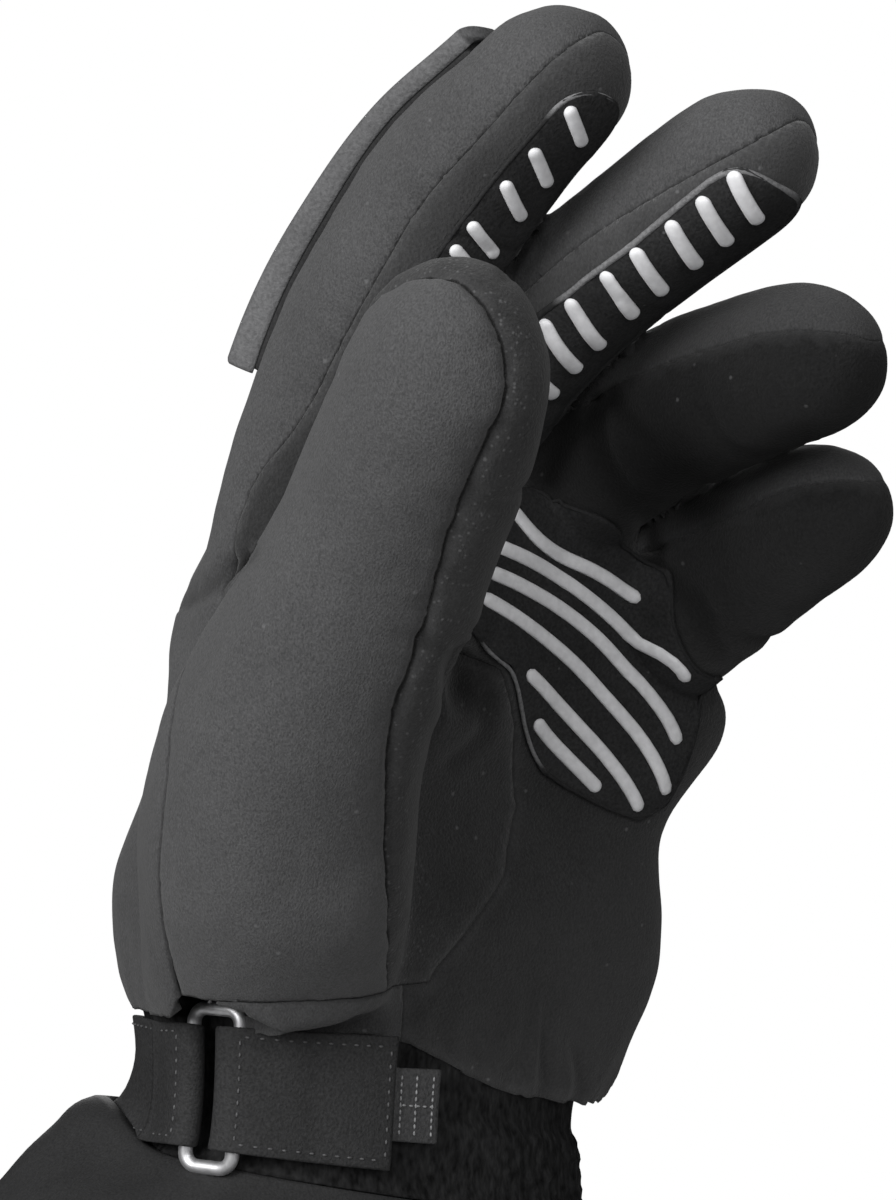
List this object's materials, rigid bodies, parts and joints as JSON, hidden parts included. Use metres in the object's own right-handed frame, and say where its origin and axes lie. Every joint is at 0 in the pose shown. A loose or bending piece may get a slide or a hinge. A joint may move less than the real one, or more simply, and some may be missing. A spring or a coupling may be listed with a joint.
{
  "type": "padded winter glove with a short gauntlet",
  "caption": "Padded winter glove for the left hand, fingers half curled: softshell back, suede palm, striped silicone grips, gathered elastic wrist, strap with a wire buckle, short gauntlet.",
  "frame": {"origin": "the centre of the gauntlet's mouth, where the forearm leaves the glove", "axes": "+Z from the cuff towards the fingertips, +X the way the palm faces, -Y the thumb's side, so that it fits a left hand"},
  "size_m": [0.1638, 0.1346, 0.2609],
  "materials": {
    "softshell": "dark grey softshell with a fine fleecy weave, matt",
    "suede": "near-black synthetic suede, matt with a short nap",
    "elastic": "black gathered elastic cloth, matt",
    "webbing": "black stitched strap cloth, matt",
    "grip_cloth": "black grip cloth with a fine grain, matt",
    "silicone": "light grey printed silicone, satin",
    "wiper_strip": "mid grey soft rubber strip, satin",
    "buckle_steel": "satin nickel-plated steel wire"
  },
  "bodies": {
    "root": {"hand_back": "softshell", "hand_palm": "suede", "thumb_back": "softshell", "thumb_palm": "suede", "index_back": "softshell", "index_back_strip": "wiper_strip", "index_palm": "suede", "index_patch": "grip_cloth", "index_stripe_1": "silicone", "index_stripe_2": "silicone", "index_stripe_3": "silicone", "index_stripe_4": "silicone", "index_stripe_5": "silicone", "index_stripe_6": "silicone", "middle_back": "softshell", "middle_palm": "suede", "middle_patch": "grip_cloth", "middle_stripe_1": "silicone", "middle_stripe_2": "silicone", "middle_stripe_3": "silicone", "middle_stripe_4": "silicone", "middle_stripe_5": "silicone", "middle_stripe_6": "silicone", "middle_stripe_7": "silicone", "middle_stripe_8": "silicone", "middle_stripe_9": "silicone", "ring_back": "softshell", "ring_palm": "suede", "little_back": "softshell", "little_palm": "suede", "wrist_band": "elastic", "gauntlet": "softshell", "strap_base": "webbing", "strap_tab": "webbing", "strap_tail": "webbing", "buckle": "buckle_steel", "palm_patch": "grip_cloth", "palm_stripe_1": "silicone", "palm_stripe_2": "silicone", "palm_stripe_3": "silicone", "palm_stripe_4": "silicone", "palm_stripe_5": "silicone", "palm_stripe_6": "silicone"}
  },
  "joints": []
}
